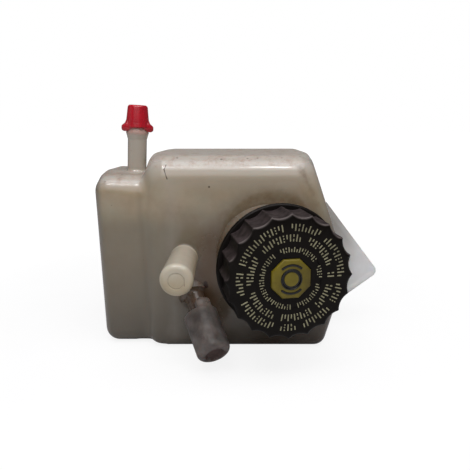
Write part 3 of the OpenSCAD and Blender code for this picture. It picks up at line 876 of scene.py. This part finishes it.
class Finish:
    """A material whose nodes are made in code."""

    def __init__(self, name, **constants):
        self.material = bpy.data.materials.new(name)
        self.material.use_nodes = True
        self.tree = self.material.node_tree
        self.shader = self.tree.nodes["Principled BSDF"]
        self.shader.subsurface_method = "RANDOM_WALK"
        for key, value in constants.items():
            self.shader.inputs[key.replace("_", " ")].default_value = value
        spot = self.node("ShaderNodeTexCoord").outputs["Object"]
        self.spot = self.vector("SCALE", {0: spot, "Scale": 1 / MM})
        self.x, self.y, self.z = self.split(self.spot)

    def node(self, kind, settings=None, inputs=None):
        """Adds a node, sets it up, and gives its sockets values or links."""
        node = self.tree.nodes.new(kind)
        for key, value in (settings or {}).items():
            setattr(node, key, value)
        for key, value in (inputs or {}).items():
            self.feed(node.inputs[key], value)
        return node

    def vector(self, operation, inputs, output=0):
        """One output of a vector maths node."""
        return self.node("ShaderNodeVectorMath", {"operation": operation}, inputs).outputs[output]

    def split(self, vector):
        """The three parts of a vector, as wires."""
        return [Wire(self, part) for part in self.node("ShaderNodeSeparateXYZ", inputs={0: vector}).outputs]

    def feed(self, socket, value):
        """Links a wire or an output to a socket, or sets a plain value there."""
        if isinstance(value, Wire):
            value = value.socket
        if isinstance(value, bpy.types.NodeSocket):
            self.tree.links.new(value, socket)
        else:
            socket.default_value = value

    def around(self, matrix):
        """Surface points in mm as seen from an axis, as three wires."""
        inverse = matrix.inverted()
        inputs = {
            "Vector": self.spot, "Location": inverse.translation / MM, "Rotation": inverse.to_euler("XYZ")}
        return self.split(self.node("ShaderNodeMapping", {"vector_type": "POINT"}, inputs).outputs[0])

    def noise(self, size, detail=3.0, rough=0.5):
        """Cloudy noise whose lumps are about size millimetres across."""
        inputs = {"Vector": self.spot, "Scale": 1 / size, "Detail": detail, "Roughness": rough}
        return Wire(self, self.node("ShaderNodeTexNoise", inputs=inputs).outputs[0])

    def specks(self, size):
        """Distance to the nearest of many scattered points, about size millimetres apart."""
        node = self.node("ShaderNodeTexVoronoi", inputs={"Vector": self.spot, "Scale": 1 / size})
        return Wire(self, node.outputs["Distance"]) * size

    def facing(self, axis):
        """How much the surface faces along X, Y or Z."""
        return self.split(self.node("ShaderNodeNewGeometry").outputs["Normal"])["XYZ".index(axis)]

    def near(self, spot, centre, radius, soft, wobble=None):
        """1 where a spot lies within a radius of a centre, with a soft edge that a wobble can ruffle."""
        far = Wire(self, self.vector("DISTANCE", {0: spot, 1: centre}, "Value"))
        if wobble is not None:
            far = far + wobble
        return far.below(radius, soft)

    def stroke(self, start, end, radius, soft, wobble=None):
        """1 along a straight stroke between two points in mm."""
        run = Vector(end) - Vector(start)
        offset = self.vector("SUBTRACT", {0: self.spot, 1: start})
        along = Wire(self, self.vector("DOT_PRODUCT", {0: offset, 1: run}, "Value"))
        step = self.vector("SCALE", {0: run, "Scale": (along / run.length_squared).clip()})
        return self.near(offset, step, radius, soft, wobble)

    def strokes(self, rows, ruffle):
        """Rows of (start, end or None for a dot, radius, soft edge, ruffle, strength), added up."""
        wires = []
        for start, end, radius, soft, share, strength in rows:
            wobble = ruffle * share
            if end is None:
                wire = self.near(self.spot, start, radius, soft, wobble)
            else:
                wire = self.stroke(start, end, radius, soft, wobble)
            wires.append(wire * strength)
        return sum(wires[1:], wires[0])

    def mix(self, share, first, second):
        """One colour turning into another as the share goes from 0 to 1."""
        node = self.node("ShaderNodeMix", {"data_type": "RGBA"}, {0: share, 6: first, 7: second})
        return node.outputs[2]

    def base(self, share, first, second):
        """Starts the colour as a mixture of two, given as 0 to 255."""
        self.colour = self.mix(share, srgb(*first), srgb(*second))

    def tint(self, share, rgb):
        """Turns the colour so far into another one by a share from 0 to 1."""
        self.colour = self.mix(share, self.colour, srgb(*rgb))

    def paint(self, roughness, height=None, strength=0.2, depth=1.0):
        """Connects the colour, a roughness and a bump height in mm to the shader."""
        self.feed(self.shader.inputs["Base Color"], self.colour)
        self.feed(self.shader.inputs["Roughness"], roughness)
        if height is not None:
            inputs = {"Strength": strength, "Distance": depth * MM, "Height": height}
            self.feed(self.shader.inputs["Normal"], self.node("ShaderNodeBump", inputs=inputs).outputs[0])
        return self.material


def srgb(red, green, blue):
    """A colour given as 0 to 255, as the shader wants it."""
    def linear(value):
        share = value / 255
        return share / 12.92 if share <= 0.04045 else ((share + 0.055) / 1.055) ** 2.4
    return (linear(red), linear(green), linear(blue), 1.0)


def coat(piece, material):
    """Gives a piece, or a node of the frame, one material all over."""
    piece.data.materials.clear()
    piece.data.materials.append(material)


print("shader helpers ready")

# %% [markdown]
# ## Yellowed tank plastic
# New, such a tank is milky white. Old brake fluid and heat turn it beige, and dirt gathers wherever
# a finger doesn't reach: along the top of the step between the sections and round the nipples. Shade
# and light are painted into the colour too: darker towards the foot and the lower right, a shadow
# beside the cap and on its collar, shade in the valley between the sections, a paler top and upper
# slopes, a pale band down the front and the red cap's reflection on its nipple. Light sinks a little
# into the plastic, so it gets some subsurface.
# Every stain is a soft ball or stroke at a place on the tank, ruffled by noise.


# %% Finish of the tank
FRONT_MM = FRONT_Y / MM
# Stains and spots as (start, end or None for a dot, radius, soft edge, ruffle, strength)
STAINS = [
    ((1.5, FRONT_MM, 54), (2, FRONT_MM, 12), 4, 8, 1, 1.1),
    ((-18, FRONT_MM, 68), (-2, FRONT_MM, 67), 3, 6, 0.8, 0.3),
    ((-10, FRONT_MM, 26), (-3, FRONT_MM, 40), 3, 5, 0.6, 0.55),
    ((-31, -24, 86), (-30, 8, 90), 1.2, 2.4, 0.4, 0.8),
    ((-49, -12, 84), (-33, -14, 84), 3, 5, 1, 0.45),
    ((43, -29, 89), (53, -27.5, 66), 0.8, 2.2, 0.4, 0.9)]
SPOTS = [
    ((-0.5, FRONT_MM, 34.3), (-0.3, FRONT_MM, 32.6), 0.95, 0.35, 1, 1),
    ((1.7, FRONT_MM, 80.4), None, 0.4, 0.3, 0.3, 1),
    ((-25.8, FRONT_MM + 0.5, 64.1), None, 0.4, 0.5, 0.5, 0.7),
    ((-8, FRONT_MM - 3, 23.5), (-5.5, FRONT_MM - 4, 22), 0.6, 0.8, 1, 0.8),
    ((-17.9, -28.4, 90.1), (-18.7, -29.7, 88.2), 0.22, 0.16, 0.3, 1),
    ((-18.7, -29.7, 88.2), (-17.3, FRONT_MM, 84), 0.22, 0.18, 0.3, 1)]


def tank_finish():
    finish = Finish("tank_plastic", Subsurface_Weight=0.1, Subsurface_Scale=0.004, Specular_IOR_Level=0.6)
    cloud = finish.noise(24, 3)
    mottle = finish.noise(7, 4)
    grime = finish.noise(3.2, 5, 0.62)
    fine = finish.noise(0.9, 3)
    low = finish.z.below(50, 44)
    foot = finish.z.below(12, 20)
    right = finish.x.above(12, 34)

    finish.base((cloud * 1.7 - 0.35).clip(), (164, 149, 127), (152, 135, 109))
    finish.tint((mottle * 2.4 - 0.9).clip() * 0.5, (132, 114, 88))
    hue = finish.noise(16, 4, 0.55)
    finish.tint((hue * 3.0 - 1.15).clip() * 0.5, (146, 144, 126))
    finish.tint(finish.z.below(65, 6) * 0.5, (96, 89, 75))
    # Painted shade: the tank darkens towards its foot and, under the cap, towards the lower right
    finish.tint(low * 0.8, (84, 78, 68))
    finish.tint(foot * 0.6, (64, 57, 50))
    finish.tint((low + 0.03).clip() * right * 0.85, (56, 44, 32))
    # Painted light: the top and the upward slopes are paler where the overhead light falls on them
    finish.tint(finish.z.above(83, 6) * 0.55, (172, 163, 152))
    tilt = finish.facing("Z")
    finish.tint(tilt.above(0.45, 0.35) * 0.6, (168, 164, 161))
    # Painted light: a paler vertical band down the front, near the main section's left rounding
    painted_light_band = finish.stroke((-16, FRONT_MM, 84), (-16, FRONT_MM, 8), 1.0, 5, (hue - 0.5) * 12)
    finish.tint(painted_light_band * 0.28, (150, 144, 136))
    # Painted shade: the side section's far left edge is darkened
    finish.tint(finish.x.below(-50.5, 2) * 0.7, (104, 96, 90))

    across, along, upward = finish.around(ON_VENT)
    on_vent = upward.above(1.5, 1.5) * finish.x.below(-29, 2)
    finish.tint(on_vent * 0.75, (168, 160, 150))
    # Painted reflection of the red cap on the top of the vent nipple
    red_reflection = upward.between(19, 24, 1.2) * on_vent
    finish.tint(red_reflection * 0.5, (170, 110, 100))
    across, along, outward = finish.around(ON_LOWER)
    lower_r = (across * across + along * along) ** 0.5
    on_lower = outward.above(0.5, 1.5) * lower_r.below(7, 1)
    finish.tint(on_lower * (0.85 + (grime - 0.5) * 1.5).clip(), (66, 45, 26))

    up = finish.facing("Z").above(0.75, 0.2)
    dust = up * (grime * 2.2 - 0.9).clip()
    finish.tint(dust * 0.5, (176, 166, 154))
    rust = tilt.above(0.6, 0.25) * (finish.noise(4.5, 5, 0.75) * 3.6 - 1.7).clip()
    finish.tint(rust * 0.8, (126, 94, 70))

    stain = finish.strokes(STAINS, (grime - 0.5) * 9).clip()
    finish.tint(stain * 0.8, (86, 62, 41))

    # Painted shade: a dark line in the valley between the two sections
    crease = finish.stroke((-31.5, -27, 82), (-29.5, -27, 4), 0.6, 2.2, (mottle - 0.5) * 2) * 0.5
    finish.tint(crease, (86, 74, 58))
    across, along, outward = finish.around(ON_NECK)
    neck_r = (across * across + along * along) ** 0.5
    shadow = neck_r.below(31, 5) * finish.y.below(-29.5, 1)
    finish.tint(shadow * (0.5 + (grime - 0.5) * 0.8).clip(), (84, 66, 48))

    # Painted shade on the neck's collar, under the cap's rim
    collar = neck_r.below(25.6, 0.5) * finish.y.below(-31, 0.4) * outward.below(13, 0.6)
    finish.tint(collar * 0.5, (84, 69, 52))
    seam = finish.y.between(-0.3, 0.3, 0.15) * neck_r.above(26, 1) * on_vent.below(0.5, 0.4)
    finish.tint(seam * 0.35, (112, 98, 80))

    finish.tint(finish.strokes(SPOTS, (fine - 0.5) * 0.7).clip() * 0.95, (44, 20, 12))
    specks = finish.specks(7).below(0.22, 0.12) * (finish.noise(18, 2).above(0.52, 0.08))
    freckles = finish.specks(3.5).below(0.55, 0.25) * tilt.above(0.7, 0.2) * mottle.above(0.52, 0.06)
    finish.tint((specks * 0.55 + freckles * 0.7).clip(), (70, 52, 40))

    roughness = 0.17 + (mottle - 0.5) * 0.16 + stain * 0.2 + up * 0.2
    height = cloud * 0.55 + mottle * 0.2 + fine * 0.02 + grime * stain * 0.1 + seam * 0.3
    return finish.paint(roughness, height, 0.35)


TANK_FINISH = tank_finish()
coat(tank, TANK_FINISH)
coat(neck_thread, TANK_FINISH)
print("tank finish", len(TANK_FINISH.node_tree.nodes), "nodes")


# %% Finish of the thin tab
def tab_finish():
    finish = Finish("tab_plastic", Subsurface_Weight=0.2, Subsurface_Scale=0.004, Transmission_Weight=0.55)
    cloud = finish.noise(9, 4)
    finish.base((cloud * 1.6 - 0.3).clip(), (232, 232, 234), (216, 215, 214))
    # Painted shade: the tab darkens near the tank, which shades it
    near = finish.x.below(74, 9)
    finish.tint(near * 0.7, (140, 134, 124))
    return finish.paint(0.38 + (cloud - 0.5) * 0.2, cloud, 0.2)


coat(tab, tab_finish())
print("tab finish ready")

# %% [markdown]
# ## Black cap, its marks and its button
# The cap is hard black plastic, handled for years: a painted highlight runs along its front edge where
# the light falls, and its flutes hold grey dust. The marks are old cream paint that has worn off in places.
# The button's yellow has gone olive with oil.


# %% Finishes of the cap
def cap_finish():
    finish = Finish("cap_plastic", Specular_IOR_Level=0.1)
    across, upward, along = finish.around(ON_NECK)
    radius = (across * across + upward * upward) ** 0.5
    smear = finish.noise(6, 4)
    fine = finish.noise(0.7, 3)
    side = radius.between(24, 27.4, 0.3) * along.below(CAP_FACE - 0.7, 0.2)
    finish.base((smear * 1.8 - 0.4).clip(), (9, 6, 4), (16, 12, 9))
    lit = finish.facing("Z").above(0.45, 0.3)
    dust = side * (finish.noise(3.5, 5, 0.6) * 2.4 - 0.6).clip() * (0.04 + lit * 0.96)
    finish.tint(dust * 0.7, (68, 59, 60))
    # Painted highlight along the front edge, where the light falls on it
    edge = along.between(CAP_FACE - 0.75, CAP_FACE - 0.25, 0.15) * lit
    finish.tint(edge * (0.2 + smear * 0.6), (122, 112, 110))
    roughness = 0.34 + (smear - 0.5) * 0.25 + side * 0.22
    return finish.paint(roughness, fine * 0.5 + smear * 0.5, 0.12, 0.4)


def mark_finish():
    finish = Finish("mark_paint")
    worn = finish.noise(1.6, 4, 0.6)
    patch = finish.noise(9, 2)
    finish.base((patch * 1.8 - 0.4).clip(), (143, 139, 110), (104, 100, 76))
    gone = (worn * 3 - 1.75).clip()
    finish.tint(gone, (50, 45, 40))
    return finish.paint(0.55, worn, 0.1, 0.1)


def button_finish():
    finish = Finish("button_plastic", Specular_IOR_Level=0.3)
    cloud = finish.noise(4, 3)
    fine = finish.noise(0.5, 3)
    finish.base((cloud * 2 - 0.5).clip(), (110, 98, 20), (84, 73, 14))
    finish.tint((finish.noise(2.2, 4) * 3 - 1.7).clip() * 0.5, (66, 55, 18))
    # Painted shade on the button's right side
    finish.tint(finish.x.above(41, 3) * 0.5, (58, 48, 12))
    return finish.paint(0.42 + (cloud - 0.5) * 0.2, fine, 0.15, 0.2)


def ring_finish():
    finish = Finish("ring_plastic", Specular_IOR_Level=0.35)
    fine = finish.noise(1.2, 3)
    finish.base((fine * 2 - 0.5).clip(), (6, 5, 4), (14, 12, 11))
    return finish.paint(0.22 + (fine - 0.5) * 0.1, fine, 0.1, 0.1)


CAP_FINISH = cap_finish()
RING_FINISH = ring_finish()
coat(cap, CAP_FINISH)
coat(cap_thread, CAP_FINISH)
coat(marks, mark_finish())
coat(button, button_finish())
coat(ring, RING_FINISH)
for name in ("button_arc_upper", "button_arc_lower"):
    coat(bpy.data.objects[name], RING_FINISH)
print("cap finishes ready")

# %% [markdown]
# ## Red, white and cloudy plastic
# The red cap is a soft vinyl with a satin shine. The white one is a creamy rubber, with painted shade
# on its underside and painted light on its top and on the upper rim of its end. The cloudy one was
# clear once: a little light still passes through its grey haze, and its dished end holds rust-brown dirt.


# %% Finishes of the push-on caps
def red_finish():
    finish = Finish("red_vinyl", Subsurface_Weight=0.1, Subsurface_Scale=0.002)
    cloud = finish.noise(5, 3)
    fine = finish.noise(0.8, 3)
    finish.base((cloud * 1.8 - 0.4).clip(), (178, 16, 34), (150, 10, 30))
    return finish.paint(0.26 + (cloud - 0.5) * 0.15, fine, 0.1, 0.3)


def white_finish():
    finish = Finish("white_rubber", Subsurface_Weight=0.08, Subsurface_Scale=0.002)
    across, upward, along = finish.around(ON_FRONT)
    radius = (across * across + upward * upward) ** 0.5
    cloud = finish.noise(6, 3)
    grime = finish.noise(1.8, 5, 0.6)
    finish.base((cloud * 1.6 - 0.3).clip(), (176, 165, 143), (162, 149, 124))
    # Painted shade on the underside
    under = upward.below(-1, 5)
    finish.tint(under * 0.3, (140, 124, 98))
    # Painted light on the upper rim of the end and along the top side
    tip = along.above(32, 1.5) * upward.above(1.5, 4)
    finish.tint(tip * 0.5, (180, 176, 166))
    finish.tint(upward.above(3.5, 2.5) * 0.5 * along.below(33, 1), (146, 142, 138))
    pin = radius.between(3.0, 3.55, 0.25) * (grime * 2.4 - 0.8).clip()
    finish.tint(pin * 0.6, (128, 120, 98))
    spot = finish.near(finish.spot, (-4.7, -63.8, 43.2), 0.5, 0.35, (grime - 0.5) * 0.5)
    nick = finish.stroke((-6.9, -66, 49), (-6.8, -66, 45.4), 0.1, 0.16, (grime - 0.5) * 0.2)
    finish.tint((spot + nick * 0.7).clip(), (60, 48, 34))
    return finish.paint(0.2 + (cloud - 0.5) * 0.15, grime * 0.4 + cloud, 0.15, 0.3)


def cloudy_finish():
    finish = Finish(
        "cloudy_plastic", Transmission_Weight=0.2, Subsurface_Weight=0.2, Subsurface_Scale=0.003, IOR=1.45)
    across, upward, along = finish.around(ON_LOWER)
    radius = (across * across + upward * upward) ** 0.5
    cloud = finish.noise(5, 4)
    grime = finish.noise(2, 5, 0.6)
    finish.base((cloud * 2.6 - 0.8).clip(), (114, 105, 101), (76, 69, 65))
    rim = along.below(13, 1.5)
    finish.tint(rim * (0.2 + cloud), (130, 118, 110))
    dish = (radius + (grime - 0.5) * 5).below(4.6, 0.8) * along.above(29, 1)
    finish.tint(dish * 0.9, (66, 42, 36))
    return finish.paint(0.52 + (grime - 0.5) * 0.5 - rim * 0.2, cloud + grime * 0.6, 0.5, 0.8)


coat(red_cap, red_finish())
coat(white_cap, white_finish())
coat(cloudy_cap, cloudy_finish())
print("push-on cap finishes ready")


# %% Finishes of the strainer and the diaphragm
def strainer_finish():
    finish = Finish("strainer_plastic", Subsurface_Weight=0.1, Subsurface_Scale=0.002)
    cloud = finish.noise(6, 3)
    finish.base((cloud * 1.7 - 0.35).clip(), (224, 220, 206), (206, 198, 178))
    return finish.paint(0.42 + (cloud - 0.5) * 0.15, cloud, 0.1, 0.3)


def gauze_finish():
    finish = Finish("gauze")
    across, upward, along = finish.around(ON_NECK)
    angle = upward.math("ARCTAN2", across)
    threads = ((angle * 17 / 0.32 * math.pi).math("SINE") * (along / 0.32 * math.pi).math("SINE"))
    holes = (threads * threads).above(0.25, 0.1)
    finish.feed(finish.shader.inputs["Alpha"], 1 - holes * 0.85)
    finish.base(finish.noise(4, 3), (206, 200, 180), (188, 178, 152))
    return finish.paint(0.5)


def diaphragm_finish():
    finish = Finish("diaphragm_rubber", Specular_IOR_Level=0.35)
    cloud = finish.noise(4, 4)
    fine = finish.noise(0.6, 3)
    finish.base((cloud * 1.8 - 0.4).clip(), (30, 29, 31), (46, 44, 46))
    return finish.paint(0.62 + (cloud - 0.5) * 0.2, fine, 0.2, 0.3)


coat(frame["nodes"]["neck_strainer"], strainer_finish())
coat(gauze, gauze_finish())
coat(frame["nodes"]["cap_diaphragm"], diaphragm_finish())
print("inner finishes ready")

# %% [markdown]
# ## Floor, light and world
# The photograph's ground is plain white. The floor is a real one that catches a faint shadow; seen
# by the camera it is mixed with white light, so that it reads as white paper without more light
# falling on the tank. A large soft lamp above and in front draws the pale band along the tank's
# front top edge, three narrow panes of light draw the streaks in it, and the world fills the
# shadows.


# %% Make the floor and the light
FLOOR_SIZE = 6.0
PAPER_GLOW = 1.08
LAMP_WHITE = (1.0, 0.985, 0.985)
PANE_HEIGHT = 0.022
SKY = (0.97, 0.98, 1.0)
AMBIENT = 0.14


def floor_finish():
    finish = Finish("floor_paper")
    grain = finish.noise(30, 2)
    finish.base(grain, (206, 206, 208), (198, 198, 200))
    finish.paint(0.9)
    light = finish.node("ShaderNodeEmission", inputs={"Color": (1, 1, 1, 1), "Strength": PAPER_GLOW})
    path = finish.node("ShaderNodeLightPath").outputs
    near = finish.near(finish.spot, (0, 0, 0), 220, 120)
    seen = Wire(finish, path["Is Camera Ray"]).math("MAXIMUM", path["Is Transmission Ray"]) * (1 - near * 0.2)
    inputs = {0: seen, 1: finish.shader.outputs[0], 2: light.outputs[0]}
    mixed = finish.node("ShaderNodeMixShader", inputs=inputs)
    finish.feed(finish.tree.nodes["Material Output"].inputs["Surface"], mixed.outputs[0])
    return finish.material


deselect()
bpy.ops.mesh.primitive_plane_add(size=FLOOR_SIZE, location=(0, 0, 0))
floor = bpy.context.object
floor.name = "floor"
coat(floor, floor_finish())


def soft_lamp(name, place_at, aim, width, height, power, tint=(1, 1, 1)):
    """An oblong area lamp that points at a spot."""
    data = bpy.data.lights.new(name, "AREA")
    data.shape = "RECTANGLE"
    data.size = width
    data.size_y = height
    data.energy = power
    data.color = tint
    lamp = bpy.data.objects.new(name, data)
    bpy.context.scene.collection.objects.link(lamp)
    lamp.location = place_at
    lamp.rotation_euler = (Vector(aim) - Vector(place_at)).to_track_quat("-Z", "Y").to_euler()


soft_lamp("top_lamp", (0.12, -0.30, 0.86), (0.12, -0.301, 0.0), 1.1, 0.74, 9.2, LAMP_WHITE)
soft_lamp("front_lamp", (-0.05, -0.85, 0.62), (0.0, 0.0, 0.06), 1.1, 0.62, 2.2, LAMP_WHITE)
soft_lamp("left_lamp", (-0.85, -0.25, 0.22), (0.0, 0.0, 0.05), 0.5, 0.4, 0.2)
# Three panes, each as (x, width, power), whose mirror images are the bright streaks on the shoulders
PANES = [(-0.212, 0.06, 0.3), (-0.09, 0.05, 0.08), (0.085, 0.06, 0.42)]
for index, (x, width, power) in enumerate(PANES):
    soft_lamp(f"pane_{index}", (x, -0.36, 0.72), (x * 0.3, -0.02, 0.09), width, PANE_HEIGHT, power)

world = bpy.data.worlds.new("studio")
bpy.context.scene.world = world
world.use_nodes = True
tree = world.node_tree
tree.nodes.clear()


def background(colour, strength):
    """A plain background of one colour."""
    node = tree.nodes.new("ShaderNodeBackground")
    node.inputs["Color"].default_value = (*colour, 1.0)
    node.inputs["Strength"].default_value = strength
    return node.outputs[0]


path = tree.nodes.new("ShaderNodeLightPath").outputs
either = tree.nodes.new("ShaderNodeMath")
either.operation = "MAXIMUM"
switch = tree.nodes.new("ShaderNodeMixShader")
output = tree.nodes.new("ShaderNodeOutputWorld")
for start, end in (
        (path["Is Camera Ray"], either.inputs[0]), (path["Is Transmission Ray"], either.inputs[1]),
        (either.outputs[0], switch.inputs[0]), (background(SKY, AMBIENT), switch.inputs[1]),
        (background((1, 1, 1), 1.0), switch.inputs[2]), (switch.outputs[0], output.inputs["Surface"])):
    tree.links.new(start, end)
bpy.context.scene.view_settings.view_transform = "Standard"
print("stage ready")

# %% Finish with nothing selected
deselect()
